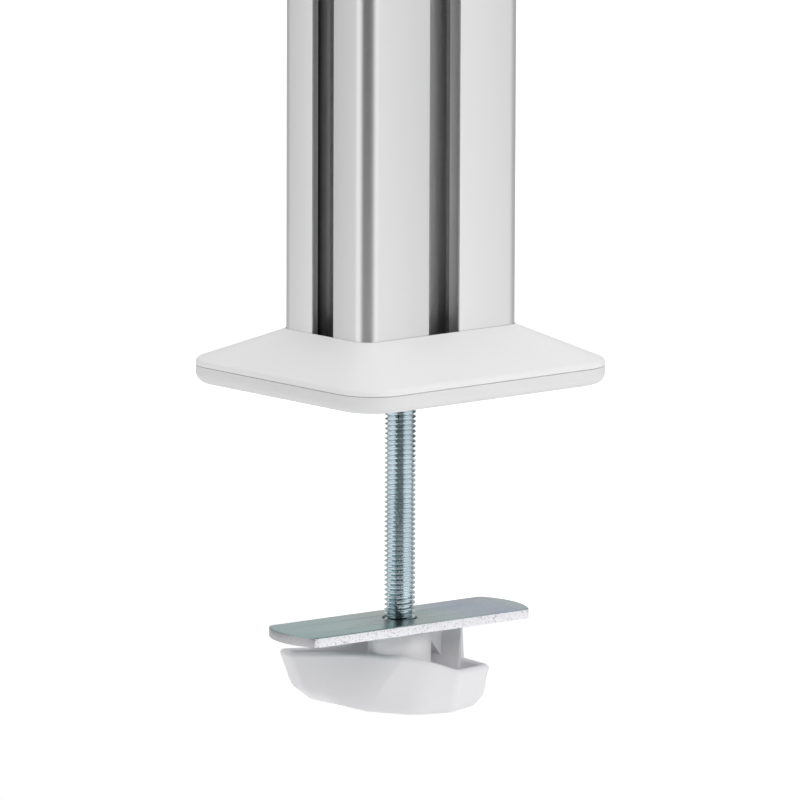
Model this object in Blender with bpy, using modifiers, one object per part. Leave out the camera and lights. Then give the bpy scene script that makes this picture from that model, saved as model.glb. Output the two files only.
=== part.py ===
"""Desk column for monitor arms, held by a bolt through the desk and a wing knob below it.

Frame: the origin is where the rod's axis meets the desk's top face. +Z is up, +X runs
along the long side of the base and +Y along its short side. The sizes below are in
millimetres and angles in degrees; mesh helpers turn millimetres into metres.
"""

import math

import bmesh
import bpy
from mathutils import Matrix, Vector

MM = 0.001
GAP = 0.3  # between neighbouring pieces
ROUND = 40  # sides of a turned piece

# Base plate: rounded slab that the column is screwed to.
BASE_X = 84.0
BASE_Y = 73.6
BASE_CORNER = 10.8
PLATE_LOW = 0.4
PLATE_HIGH = 4.85
PLATE_EDGE = 2.6

# Anti-slip pad, let into the underside of the base plate. Its lower face is the desk's face.
PAD_INSET = 6.0
PAD_RECESS = 0.6
PAD_THICKNESS = 0.7
PAD_HOLE = 7.5

# Cover: hollow trim that slopes from the base plate's edge up to the column.
COVER_LOW = PLATE_HIGH + GAP
COVER_BAND = 0.6
COVER_SHOULDER = 1.0
COVER_HIGH = 14.8
COVER_WALL = 2.3
COVER_COLLAR = 2.6

# Column: extruded aluminium profile with a T-slot in each face.
COLUMN_X = 51.3
COLUMN_Y = 33.6
COLUMN_CORNER = 4.3
COLUMN_LOW = PLATE_HIGH + GAP
COLUMN_LENGTH = 300.0
MOUTH_EDGE = 0.5
SLOT_WIDE = {"mouth": 9.4, "lip": 4.0, "depth": 8.0, "cavity": 16.0}
SLOT_NARROW = {"mouth": 7.75, "lip": 2.0, "depth": 6.9, "cavity": 12.0}
CORE_X = 33.8
CORE_Y = 14.2
CHAMBER_X = (9.8, 15.2)
CHAMBER_Y = (9.0, 14.9)
PORT_X = 19.6
PORT_Y = 11.2
PORT_RADIUS = 2.8

# Top cap: moulded plug that closes the column.
CAP_THICKNESS = 3.0
CAP_EDGE = 1.2
CAP_PLUG = 10.0
CAP_PLUG_WALL = 1.8

# Screws from below the base plate into the profile's ports.
SCREW_RADIUS = 2.45
SCREW_HEAD_RADIUS = 4.6
SCREW_HEAD_HEIGHT = 2.3
SCREW_LENGTH = 18.0
SCREW_SOCKET_RADIUS = 1.7

# Threaded rod M8 and what holds it to the base plate. Bores keep the gap to its crests.
ROD_RADIUS = 3.95
ROD_LOW = -82.0
ROD_HIGH = 18.0
ROD_CHAMFER = 0.9
BORE_RADIUS = ROD_RADIUS + GAP
NUT_FLATS = 13.0
LOCK_WASHER_RADIUS = 6.35
LOCK_WASHER_HEIGHT = 2.0
LOCK_WASHER_SLIT = 1.2
LOCK_NUT_LOW = PLATE_HIGH + 2 * GAP + LOCK_WASHER_HEIGHT
LOCK_NUT_HEIGHT = 6.5

# Clamp plate: sheared steel strip with bowed ends that presses on the desk from below.
CLAMP_X = 73.0
CLAMP_Y = 20.9
CLAMP_END_RADIUS = 18.2
CLAMP_CORNER = 2.0
CLAMP_THICKNESS = 2.5
CLAMP_HIGH = -59.8
CLAMP_HOLE = 4.4
CLAMP_YAW = -3.6

# Wing knob: hollow moulding with a boss, in its own frame, x along its long side.
KNOB_YAW = -40.5
KNOB_HIGH = CLAMP_HIGH - CLAMP_THICKNESS - 2 * GAP
KNOB_LOW = -83.2
KNOB_WALL = 1.9
KNOB_FLOOR = 2.0
BOSS_RADIUS = 8.0
BOSS_FOOT_RADIUS = 8.4
BOSS_FOOT_HIGH = -74.2
KNOB_BORE = 4.5
THRUST_RADIUS = 6.7
THRUST_HEIGHT = 1.2
KNOB_NUT_LOW = -82.0
KNOB_NUT_HEIGHT = 6.3
GUSSET_START = (6.2, 0.2)
GUSSET_YAW = 57.0
GUSSET_THICKNESS = 1.6
GUSSET_OUTLINE = ((0.0, -64.0), (7.9, -72.0), (7.9, -63.1), (0.0, -63.1))

# Corners of the knob's outer skin, round the wing from its narrow end along the thumb hollow
# and back along the tall rear wall, which ends square behind the short wing:
# x, y, z at the rim, then x, y, z at the foot, then how far the corner is softened.
KNOB_CORNERS = (
    ((-27.8, -2.6, -68.7), (-22.4, -0.9, -81.0), 1.6),
    ((-14.0, -4.0, -68.3), (-15.0, -3.4, -82.1), 4.0),
    ((-7.6, -6.0, -68.2), (-11.2, -5.0, -82.7), 2.4),
    ((0.2, -10.3, -68.2), (-8.0, -6.4, -83.1), 1.0),
    ((8.0, -10.9, -69.2), (3.4, -10.3, KNOB_LOW), 3.4),
    ((15.0, -9.4, -71.7), (13.2, -7.2, -83.1), 1.2),
    ((23.1, 0.0, -71.8), (19.9, 0.0, -82.4), 1.5),
    ((18.2, 5.2, -71.5), (15.9, 4.2, -83.0), 2.0),
    ((16.4, 6.2, -71.2), (14.6, 5.0, -83.1), 0.3),
    ((15.92, 6.33, KNOB_HIGH), (14.12, 5.13, -83.1), 0.3),
    ((3.0, 9.7, KNOB_HIGH), (2.8, 8.3, KNOB_LOW), 3.0),
    ((-6.0, 9.1, -64.3), (-5.4, 7.8, -83.1), 2.5),
    ((-13.0, 8.2, -68.2), (-11.8, 6.9, -82.7), 3.0),
    ((-22.0, 7.1, -68.9), (-19.0, 5.7, -81.8), 3.0),
    ((-30.6, 6.1, -69.0), (-23.9, 4.3, -81.3), 1.6),
)
# Where the skin bulges past the straight line from foot to rim, by corner number.
KNOB_BELLY = {
    0: (-25.9, -2.0, -75.5),
    6: (22.4, 0.0, -75.5),
    9: (14.93, 5.67, -77.7),
    14: (-28.9, 5.7, -74.8),
}
KNOB_BILGE = {0: (-24.7, -1.5, -78.6), 6: (21.6, 0.0, -79.6), 14: (-27.3, 5.1, -78.3)}
KNOB_BELLY_SHARE = 0.45
KNOB_BILGE_SHARE = 0.12
CORNER_STEPS = 5

POWDER_WHITE = ((0.80, 0.80, 0.81), 0.0, 0.42)
MOULDED_WHITE = ((0.72, 0.72, 0.73), 0.0, 0.48)
KNOB_GREY = ((0.60, 0.60, 0.62), 0.0, 0.5)
ANODISED = ((0.72, 0.72, 0.73), 0.9, 0.36)
ZINC = ((0.52, 0.60, 0.62), 1.0, 0.28)
STEEL = ((0.55, 0.56, 0.57), 1.0, 0.32)
RUBBER = ((0.05, 0.05, 0.05), 0.0, 0.8)


def clear_scene():
    for obj in list(bpy.data.objects):
        bpy.data.objects.remove(obj, do_unlink=True)


def new_collection(name):
    made = bpy.data.collections.new(name)
    bpy.context.scene.collection.children.link(made)
    return made


def new_material(name, look):
    colour, metallic, roughness = look
    made = bpy.data.materials.new(name)
    made.use_nodes = True
    shader = made.node_tree.nodes["Principled BSDF"]
    shader.inputs["Base Color"].default_value = (*colour, 1.0)
    shader.inputs["Metallic"].default_value = metallic
    shader.inputs["Roughness"].default_value = roughness
    return made


def metres(*values):
    return tuple(value * MM for value in values)


def mesh_object(name, mesh, holder):
    obj = bpy.data.objects.new(name, mesh)
    holder.objects.link(obj)
    return obj


def object_from_bmesh(name, bm, holder, smooth=None):
    bmesh.ops.recalc_face_normals(bm, faces=bm.faces)
    mesh = bpy.data.meshes.new(name)
    bm.to_mesh(mesh)
    bm.free()
    if smooth is not None:
        mesh.shade_smooth()
        mesh.set_sharp_from_angle(angle=math.radians(smooth))
    return mesh_object(name, mesh, holder)


def prism(name, outlines, low, high, holder):
    """An outline given thickness from low to high. The first is the edge, the rest are holes."""
    curve = bpy.data.curves.new(name, "CURVE")
    curve.dimensions = "2D"
    curve.fill_mode = "BOTH"
    curve.extrude = (high - low) / 2 * MM
    for outline in outlines:
        spline = curve.splines.new("POLY")
        spline.points.add(len(outline) - 1)
        spline.use_cyclic_u = True
        for point, (x, y) in zip(spline.points, outline):
            point.co = (x * MM, y * MM, 0.0, 1.0)
    guide = bpy.data.objects.new(name + "_outline", curve)
    holder.objects.link(guide)
    guide.location.z = (low + high) / 2 * MM
    bpy.context.view_layer.update()
    evaluated = guide.evaluated_get(bpy.context.evaluated_depsgraph_get())
    mesh = bpy.data.meshes.new_from_object(evaluated)
    place = guide.matrix_world.copy()
    bpy.data.objects.remove(guide, do_unlink=True)
    bm = bmesh.new()
    bm.from_mesh(mesh)
    bpy.data.meshes.remove(mesh)
    bmesh.ops.remove_doubles(bm, verts=bm.verts, dist=1e-6)
    bm.transform(place)
    return object_from_bmesh(name, bm, holder, smooth=30)


def turned(name, profile, holder, steps=ROUND, closed=False):
    """A profile of radius and height, from top to bottom on its outer side, turned about Z."""
    mesh = bpy.data.meshes.new(name)
    edges = [(i, i + 1) for i in range(len(profile) - 1)]
    if closed:
        edges.append((len(profile) - 1, 0))
    mesh.from_pydata([metres(radius, 0.0, z) for radius, z in profile], edges, [])
    obj = mesh_object(name, mesh, holder)
    screw = obj.modifiers.new("turn", "SCREW")
    screw.axis = "Z"
    screw.steps = steps
    screw.render_steps = steps
    screw.use_merge_vertices = True
    screw.merge_threshold = 0.00001
    screw.use_smooth_shade = True
    return obj


def box(name, low, high, holder):
    bm = bmesh.new()
    bmesh.ops.create_cube(bm, size=1.0)
    size = [(b - a) * MM for a, b in zip(low, high)]
    middle = [(a + b) / 2 * MM for a, b in zip(low, high)]
    bmesh.ops.scale(bm, vec=size, verts=bm.verts)
    bmesh.ops.translate(bm, vec=middle, verts=bm.verts)
    return object_from_bmesh(name, bm, holder)


def loft(name, rings, holder, closed=False, smooth=35):
    """Skins rings of equal length. A closed loft joins last ring to first, an open one is capped."""
    bm = bmesh.new()
    rows = [[bm.verts.new(metres(*point)) for point in ring] for ring in rings]
    pairs = list(zip(rows, rows[1:]))
    if closed:
        pairs.append((rows[-1], rows[0]))
    for lower, upper in pairs:
        for i in range(len(lower)):
            j = (i + 1) % len(lower)
            bm.faces.new((lower[i], lower[j], upper[j], upper[i]))
    if not closed:
        bmesh.ops.triangulate(bm, faces=[bm.faces.new(rows[0]), bm.faces.new(rows[-1])])
    return object_from_bmesh(name, bm, holder, smooth=smooth)


def boolean(obj, other, operation="DIFFERENCE"):
    """Joins, cuts or trims obj with a helper, which is hidden from renders."""
    other.hide_render = True
    other.display_type = "WIRE"
    modifier = obj.modifiers.new(other.name, "BOOLEAN")
    modifier.operation = operation
    modifier.solver = "EXACT"
    modifier.object = other


def arc(centre_x, centre_y, radius, start, end, steps):
    angles = [math.radians(start + (end - start) * i / steps) for i in range(steps + 1)]
    return [(centre_x + radius * math.cos(a), centre_y + radius * math.sin(a)) for a in angles]


def circle(x, y, radius, sides=ROUND):
    return arc(x, y, radius, 0, 360, sides)[:-1]


def hexagon(flats):
    return circle(0, 0, flats / math.sqrt(3), 6)


def rectangle(low_x, low_y, high_x, high_y):
    return [(low_x, low_y), (high_x, low_y), (high_x, high_y), (low_x, high_y)]


def rounded_rectangle(size_x, size_y, radius, steps=8):
    x, y = size_x / 2 - radius, size_y / 2 - radius
    centres = ((x, y), (-x, y), (-x, -y), (x, -y))
    return [
        point
        for quarter, (cx, cy) in enumerate(centres)
        for point in arc(cx, cy, radius, 90 * quarter, 90 * quarter + 90, steps)
    ]


def at_height(outline, z):
    return [(x, y, z) for x, y in outline]


def slotted_outline():
    """The profile's outer edge, anticlockwise from the middle of the +X face."""
    outline = []
    sizes = (COLUMN_X / 2, COLUMN_Y / 2)
    for side in range(4):
        reach = sizes[side % 2]
        slot = SLOT_NARROW if side % 2 == 0 else SLOT_WIDE
        mouth, cavity = slot["mouth"] / 2, slot["cavity"] / 2
        lip, floor = reach - slot["lip"], reach - slot["depth"]
        half = [
            (cavity, floor),
            (cavity, lip),
            (mouth, lip),
            (mouth, reach - MOUTH_EDGE),
            (mouth + MOUTH_EDGE, reach),
        ]
        path = [(-along, out) for along, out in reversed(half)] + half
        cos, sin = round(math.cos(math.pi / 2 * side)), round(math.sin(math.pi / 2 * side))
        outline += [(out * cos - along * sin, out * sin + along * cos) for along, out in path]
        corner_x = (COLUMN_X / 2 - COLUMN_CORNER) * (1 if side in (0, 3) else -1)
        corner_y = (COLUMN_Y / 2 - COLUMN_CORNER) * (1 if side in (0, 1) else -1)
        outline += arc(corner_x, corner_y, COLUMN_CORNER, 90 * side, 90 * side + 90, 8)
    return outline


def four_ways(x, y):
    return [(x, y), (-x, y), (-x, -y), (x, -y)]


def make_column(parts):
    outlines = [slotted_outline(), rectangle(-CORE_X / 2, -CORE_Y / 2, CORE_X / 2, CORE_Y / 2)]
    middle_x, middle_y = sum(CHAMBER_X) / 2, sum(CHAMBER_Y) / 2
    half_x, half_y = CHAMBER_X[1] - middle_x, CHAMBER_Y[1] - middle_y
    for x, y in four_ways(middle_x, middle_y):
        outlines.append(rectangle(x - half_x, y - half_y, x + half_x, y + half_y))
    for x, y in four_ways(PORT_X, PORT_Y):
        outlines.append(circle(x, y, PORT_RADIUS, 20))
    return prism("column_profile", outlines, COLUMN_LOW, COLUMN_LOW + COLUMN_LENGTH, parts)


def make_top_cap(parts, cutters):
    low = COLUMN_LOW + COLUMN_LENGTH + GAP
    high = low + CAP_THICKNESS
    sizes = ((0.0, 0.0), (CAP_EDGE, 0.0), (0.3 * CAP_EDGE, 0.3 * CAP_EDGE), (0.0, CAP_EDGE))
    rings = [at_height(rounded_rectangle(COLUMN_X, COLUMN_Y, COLUMN_CORNER), low)]
    for down, inset in sizes[1:]:
        outline = rounded_rectangle(COLUMN_X - 2 * inset, COLUMN_Y - 2 * inset, COLUMN_CORNER - inset)
        rings.append(at_height(outline, high - down))
    cap = loft("column_top_cap", rings, parts)
    plug_x, plug_y = CORE_X / 2 - GAP, CORE_Y / 2 - GAP
    wall_x, wall_y = plug_x - CAP_PLUG_WALL, plug_y - CAP_PLUG_WALL
    outlines = [
        rectangle(-plug_x, -plug_y, plug_x, plug_y),
        rectangle(-wall_x, -wall_y, wall_x, wall_y),
    ]
    boolean(cap, prism("cap_plug", outlines, low - CAP_PLUG, low + 1.0, cutters), "UNION")
    return cap


def inset_base(inset, z):
    corner = max(BASE_CORNER - inset, 1.0)
    return at_height(rounded_rectangle(BASE_X - 2 * inset, BASE_Y - 2 * inset, corner), z)


def make_base_plate(parts, cutters):
    steps = 6
    rings = []
    for i in range(steps + 1):
        angle = math.pi / 2 * i / steps
        inset = PLATE_EDGE * (1 - math.sin(angle))
        rings.append(inset_base(inset, PLATE_LOW + PLATE_EDGE * (1 - math.cos(angle))))
    rings.append(inset_base(0.0, PLATE_HIGH - 0.3))
    rings.append(inset_base(0.3, PLATE_HIGH))
    plate = loft("base_plate", rings, parts)
    recess = PLATE_LOW + PAD_RECESS
    pad_x, pad_y = BASE_X - 2 * PAD_INSET, BASE_Y - 2 * PAD_INSET
    outline = rounded_rectangle(pad_x + 2 * GAP, pad_y + 2 * GAP, 5.0 + GAP)
    boolean(plate, prism("pad_recess", [outline], PLATE_LOW - 2, recess, cutters))
    boolean(plate, prism("rod_hole", [circle(0, 0, BORE_RADIUS)], 0.0, PLATE_HIGH + 1, cutters))
    profile = [
        (0.0, PLATE_HIGH + 1),
        (SCREW_RADIUS + GAP, PLATE_HIGH + 1),
        (SCREW_RADIUS + GAP, recess + 0.2 + SCREW_HEAD_HEIGHT + GAP),
        (SCREW_HEAD_RADIUS + GAP, recess + 0.2 + GAP),
        (SCREW_HEAD_RADIUS + GAP, recess - 1),
        (0.0, recess - 1),
    ]
    for number, (x, y) in enumerate(four_ways(PORT_X, PORT_Y), 1):
        hole = turned(f"screw_hole_{number}", profile, cutters, 24)
        hole.location = metres(x, y, 0.0)
        boolean(plate, hole)
    return plate


def make_desk_pad(parts):
    pad_x, pad_y = BASE_X - 2 * PAD_INSET, BASE_Y - 2 * PAD_INSET
    outlines = [rounded_rectangle(pad_x, pad_y, 5.0), circle(0, 0, PAD_HOLE)]
    outlines += [circle(x, y, SCREW_HEAD_RADIUS + 1.0, 24) for x, y in four_ways(PORT_X, PORT_Y)]
    return prism("desk_pad", outlines, 0.0, PAD_THICKNESS, parts)


def make_cover(parts):
    """A shell: its outer rings run up to the opening and its inner rings run back down."""
    open_x, open_y = COLUMN_X + 2 * GAP, COLUMN_Y + 2 * GAP
    open_corner = COLUMN_CORNER + GAP
    shoulder = COVER_LOW + COVER_BAND
    rings = [inset_base(0.3, COVER_LOW), inset_base(0.0, COVER_LOW + 0.3)]
    steps = 4
    for i in range(steps + 1):
        angle = math.radians(66) * i / steps
        inset = COVER_SHOULDER * (1 - math.cos(angle))
        rings.append(inset_base(inset, shoulder + COVER_SHOULDER * math.sin(angle)))
    rim = rounded_rectangle(open_x + 0.8, open_y + 0.8, open_corner + 0.4)
    rings.append(at_height(rim, COVER_HIGH - 0.15))
    opening = rounded_rectangle(open_x, open_y, open_corner)
    rings.append(at_height(opening, COVER_HIGH))
    rings.append(at_height(opening, COVER_HIGH - COVER_COLLAR))
    rings.append(inset_base(COVER_WALL + 1.6, shoulder + 0.2))
    rings.append(inset_base(COVER_WALL, COVER_LOW))
    return loft("base_cover", rings, parts, closed=True)


def make_column_screws(parts, cutters):
    low = PLATE_LOW + PAD_RECESS + 0.2
    neck = low + SCREW_HEAD_HEIGHT
    tip = low + SCREW_LENGTH
    profile = [
        (0.0, tip),
        (SCREW_RADIUS - 1.0, tip - 0.2),
        (SCREW_RADIUS, tip - 2.0),
        (SCREW_RADIUS, neck),
        (SCREW_HEAD_RADIUS, low + 0.2),
        (SCREW_HEAD_RADIUS, low),
        (0.0, low),
    ]
    screws = []
    for number, (x, y) in enumerate(four_ways(PORT_X, PORT_Y), 1):
        screw = turned(f"column_screw_{number}", profile, parts, 24)
        socket = prism(
            f"screw_socket_{number}",
            [hexagon(2 * SCREW_SOCKET_RADIUS)],
            low - 1.0,
            low + 1.5,
            cutters,
        )
        socket.location = metres(x, y, 0.0)
        screw.location = metres(x, y, 0.0)
        boolean(screw, socket)
        screws.append(screw)
    return screws


def make_rod(parts):
    profile = [
        (0.0, ROD_HIGH),
        (ROD_RADIUS - ROD_CHAMFER, ROD_HIGH),
        (ROD_RADIUS, ROD_HIGH - ROD_CHAMFER),
        (ROD_RADIUS, ROD_LOW + ROD_CHAMFER),
        (ROD_RADIUS - ROD_CHAMFER, ROD_LOW),
        (0.0, ROD_LOW),
    ]
    return turned("threaded_rod", profile, parts)


def make_nut(name, low, height, parts, cutters):
    """A hexagon nut whose corners are turned off at both ends."""
    nut = prism(name, [hexagon(NUT_FLATS), circle(0, 0, BORE_RADIUS)], low, low + height, parts)
    corner = NUT_FLATS / math.sqrt(3)
    flat = NUT_FLATS / 2
    slope = (corner - flat) * math.tan(math.radians(30))
    high = low + height
    profile = [
        (0.0, high + 0.5),
        (flat, high + 0.5),
        (flat, high),
        (corner + 0.5, high - slope - 0.3),
        (corner + 0.5, low + slope + 0.3),
        (flat, low),
        (flat, low - 0.5),
        (0.0, low - 0.5),
    ]
    boolean(nut, turned(name + "_corners", profile, cutters, 48), "INTERSECT")
    return nut


def make_lock_washer(parts):
    """A split spring ring: one outline that runs round the outside and back along the bore."""
    half = math.degrees(math.asin(LOCK_WASHER_SLIT / 2 / BORE_RADIUS))
    outline = arc(0, 0, LOCK_WASHER_RADIUS, half, 360 - half, 36)
    outline += arc(0, 0, BORE_RADIUS, 360 - half, half, 36)
    low = PLATE_HIGH + GAP
    return prism("rod_lock_washer", [outline], low, low + LOCK_WASHER_HEIGHT, parts)


def bowed_outline():
    """The clamp plate's edge: straight sides, ends bowed at a large radius, softened corners."""
    end_x = CLAMP_X / 2 - CLAMP_END_RADIUS
    corner_y = CLAMP_Y / 2 - CLAMP_CORNER
    reach = CLAMP_END_RADIUS - CLAMP_CORNER
    corner_x = end_x + math.sqrt(reach**2 - corner_y**2)
    lean = math.degrees(math.atan2(corner_y, corner_x - end_x))
    half = arc(corner_x, -corner_y, CLAMP_CORNER, -90, -lean, 4)
    half += arc(end_x, 0, CLAMP_END_RADIUS, -lean, lean, 16)[1:-1]
    half += arc(corner_x, corner_y, CLAMP_CORNER, lean, 90, 4)
    return half + [(-x, -y) for x, y in half]


def make_clamp_plate(parts):
    outlines = [bowed_outline(), circle(0, 0, CLAMP_HOLE)]
    low = CLAMP_HIGH - CLAMP_THICKNESS
    plate = prism("clamp_plate", outlines, low, CLAMP_HIGH, parts)
    plate.rotation_euler.z = math.radians(CLAMP_YAW)
    return plate


def make_thrust_washer(parts):
    high = CLAMP_HIGH - CLAMP_THICKNESS - GAP
    low = high - THRUST_HEIGHT
    profile = [
        (CLAMP_HOLE, high),
        (THRUST_RADIUS, high),
        (THRUST_RADIUS, low),
        (CLAMP_HOLE, low),
    ]
    return turned("thrust_washer", profile, parts, closed=True)


def lerp(a, b, share):
    return tuple(x + (y - x) * share for x, y in zip(a, b))


def inset_corners(corners, inset, lift=0.0):
    """Moves each edge of a ring of corners inwards, and every corner up by lift."""
    moved = []
    for i, corner in enumerate(corners):
        before, after = corners[i - 1], corners[(i + 1) % len(corners)]
        first = Vector((corner[0] - before[0], corner[1] - before[1])).normalized()
        second = Vector((after[0] - corner[0], after[1] - corner[1])).normalized()
        inward_a, inward_b = Vector((-first.y, first.x)), Vector((-second.y, second.x))
        shift = (inward_a + inward_b) * inset / (1 + inward_a.dot(inward_b))
        moved.append((corner[0] + shift.x, corner[1] + shift.y, corner[2] + lift))
    return moved


def soften(corners, reaches):
    """A ring whose corners are replaced by short curves between points on their two edges."""
    ring = []
    for i, corner in enumerate(corners):
        point = Vector(corner)
        ends = []
        for other in (corners[i - 1], corners[(i + 1) % len(corners)]):
            edge = Vector(other) - point
            ends.append(point + edge * min(reaches[i] / edge.length, 0.45))
        for step in range(CORNER_STEPS + 1):
            t = step / CORNER_STEPS
            ring.append(tuple(ends[0] * (1 - t) ** 2 + point * 2 * t * (1 - t) + ends[1] * t**2))
    return ring


def knob_rings():
    """The hollow wing: up its outer skin, over the rounded rim and down its inner skin."""
    rim = [corner[0] for corner in KNOB_CORNERS]
    foot = [corner[1] for corner in KNOB_CORNERS]
    reaches = [corner[2] for corner in KNOB_CORNERS]
    belly, bilge = (
        [bulge.get(i, lerp(foot[i], rim[i], share)) for i in range(len(KNOB_CORNERS))]
        for bulge, share in ((KNOB_BELLY, KNOB_BELLY_SHARE), (KNOB_BILGE, KNOB_BILGE_SHARE))
    )
    stations = (
        inset_corners(foot, 0.9),
        inset_corners(foot, 0.25, 0.25),
        bilge,
        belly,
        inset_corners(rim, 0.0, -0.7),
        inset_corners(rim, 0.2, -0.2),
        inset_corners(rim, 0.7),
        inset_corners(rim, KNOB_WALL - 0.7),
        inset_corners(rim, KNOB_WALL, -0.6),
        inset_corners(belly, KNOB_WALL),
        inset_corners(foot, KNOB_WALL + 0.6, KNOB_FLOOR),
    )
    return [soften(station, reaches) for station in stations]


def make_knob(parts, cutters):
    knob = loft("wing_knob", knob_rings(), parts, smooth=40)
    post = [
        (0.0, KNOB_HIGH),
        (BOSS_RADIUS, KNOB_HIGH),
        (BOSS_RADIUS, BOSS_FOOT_HIGH + 1),
        (BOSS_FOOT_RADIUS, BOSS_FOOT_HIGH),
        (BOSS_FOOT_RADIUS, KNOB_LOW + 1),
        (0.0, KNOB_LOW + 1),
    ]
    half = GUSSET_THICKNESS / 2
    gusset = prism("knob_gusset", [GUSSET_OUTLINE], -half, half, cutters)
    upright = Matrix.Rotation(math.radians(90), 4, "X")
    yaw = Matrix.Rotation(math.radians(GUSSET_YAW), 4, "Z")
    gusset.data.transform(Matrix.Translation(metres(*GUSSET_START, 0.0)) @ yaw @ upright)
    washer_seat = KNOB_HIGH + GAP - THRUST_HEIGHT - 2 * GAP
    bore = [
        (0.0, KNOB_HIGH + 1),
        (THRUST_RADIUS + GAP, KNOB_HIGH + 1),
        (THRUST_RADIUS + GAP, washer_seat),
        (KNOB_BORE, washer_seat),
        (KNOB_BORE, KNOB_LOW - 1),
        (0.0, KNOB_LOW - 1),
    ]
    pocket_high = KNOB_NUT_LOW + KNOB_NUT_HEIGHT + GAP
    pocket = [hexagon(NUT_FLATS + 2 * GAP)]
    boolean(knob, turned("knob_boss", post, cutters), "UNION")
    boolean(knob, gusset, "UNION")
    boolean(knob, turned("knob_bore", bore, cutters))
    boolean(knob, prism("nut_pocket", pocket, KNOB_LOW - 1, pocket_high, cutters))
    helpers = ("knob_boss", "knob_gusset", "knob_bore", "nut_pocket")
    for obj in [knob] + [cutters.objects[name] for name in helpers]:
        obj.rotation_euler.z = math.radians(KNOB_YAW)
    return knob


def main():
    clear_scene()
    parts = new_collection("monitor_arm")
    cutters = new_collection("monitor_arm_cutters")
    looks = (
        (POWDER_WHITE, [make_base_plate(parts, cutters)]),
        (MOULDED_WHITE, [make_cover(parts), make_top_cap(parts, cutters)]),
        (ANODISED, [make_column(parts)]),
        (RUBBER, [make_desk_pad(parts)]),
        (STEEL, make_column_screws(parts, cutters)),
        (ZINC, [make_rod(parts), make_lock_washer(parts), make_clamp_plate(parts)]),
        (ZINC, [make_nut("rod_lock_nut", LOCK_NUT_LOW, LOCK_NUT_HEIGHT, parts, cutters)]),
        (STEEL, [make_thrust_washer(parts)]),
        (KNOB_GREY, [make_knob(parts, cutters)]),
    )
    knob_nut = make_nut("knob_insert_nut", KNOB_NUT_LOW, KNOB_NUT_HEIGHT, parts, cutters)
    knob_nut.rotation_euler.z = math.radians(KNOB_YAW)
    cutters.objects["knob_insert_nut_corners"].rotation_euler.z = math.radians(KNOB_YAW)
    for look, pieces in looks + ((STEEL, [knob_nut]),):
        for piece in pieces:
            piece.data.materials.append(new_material(piece.name + "_material", look))


main()
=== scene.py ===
import math

import bmesh
import bpy
from mathutils import Matrix, Vector


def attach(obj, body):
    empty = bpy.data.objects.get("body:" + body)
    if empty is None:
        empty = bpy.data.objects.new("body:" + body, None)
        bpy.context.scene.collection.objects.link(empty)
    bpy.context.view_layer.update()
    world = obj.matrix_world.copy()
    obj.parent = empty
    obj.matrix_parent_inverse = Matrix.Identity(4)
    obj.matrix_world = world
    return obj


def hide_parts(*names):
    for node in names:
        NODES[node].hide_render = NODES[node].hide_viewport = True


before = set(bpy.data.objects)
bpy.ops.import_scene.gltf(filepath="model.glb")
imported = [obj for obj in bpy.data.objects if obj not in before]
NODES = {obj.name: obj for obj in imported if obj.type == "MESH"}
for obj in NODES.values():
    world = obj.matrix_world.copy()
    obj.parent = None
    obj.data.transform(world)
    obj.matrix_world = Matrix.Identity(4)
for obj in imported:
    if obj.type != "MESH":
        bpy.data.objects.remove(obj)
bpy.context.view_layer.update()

MM = 0.001
GAP = 0.3  # in millimetres, between pieces that touch

# Camera: azimuth, elevation and distance of its place, tilt and roll of its aim.
CAMERA_AZIMUTH = math.radians(40.464)
CAMERA_ELEVATION = math.radians(9.485)
CAMERA_TILT = math.radians(9.597)
CAMERA_ROLL = math.radians(0.2)
CAMERA_DISTANCE = 2.2319
CAMERA_TARGET_Z = 0.0004
CAMERA_LENS = 399.75
CAMERA_SHIFT = (-0.00045, -0.0012)

# Stage, in metres: a glowing white floor, and a tent of soft light that stands on it round the object.
# The tent's stops are an angle to the right of the camera's side, in degrees, and the brightness there.
FLOOR_Z = -0.35
FLOOR_SIZE = 60.0
FLOOR_GLOW = 0.35
WORLD_STRENGTH = 1.0
TENT_RADIUS = 1.5
TENT_LOW = -0.34
TENT_HIGH = 1.5
TENT_SEGMENTS = 96
TENT_STOPS = (
    (-180, 0.72),
    (-150, 0.46),
    (-120, 0.40),
    (-98, 0.60),
    (-78, 0.84),
    (-60, 0.92),
    (-46, 0.56),
    (-34, 0.05),
    (20, 0.05),
    (35, 0.42),
    (50, 0.88),
    (72, 0.84),
    (98, 0.56),
    (120, 0.38),
    (150, 0.46),
    (180, 0.72),
)

# Key light: a large soft box above the camera, a little to its right.
LIGHT_DISTANCE = 1.4
KEY_AZIMUTH = math.radians(20)
KEY_ELEVATION = math.radians(45)
KEY_SIZE = 0.9
KEY_POWER = 5.6

# Fill light: a soft box low on the right, which reaches in under the clamp plate.
FILL_AZIMUTH = math.radians(42)
FILL_ELEVATION = math.radians(5)
FILL_SIZE = 0.5
FILL_POWER = 1.0

# A black flag high in front and two grey cards on the floor, which only reflections see.
# A card is its lowest and highest corner, with y away from the camera, and its tone.
FLAG_AZIMUTH = math.radians(-8)
FLAG_ELEVATION = math.radians(54)
FLAG_DISTANCE = 1.2
FLAG_RADIUS = 0.5
FLAG_TONE = 0.04
CARDS = (((-0.14, -0.30, 0.19, 0.10), 0.13), ((-0.42, 0.20, 0.42, 0.75), 0.35))
CARD_Z = -0.34

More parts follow.
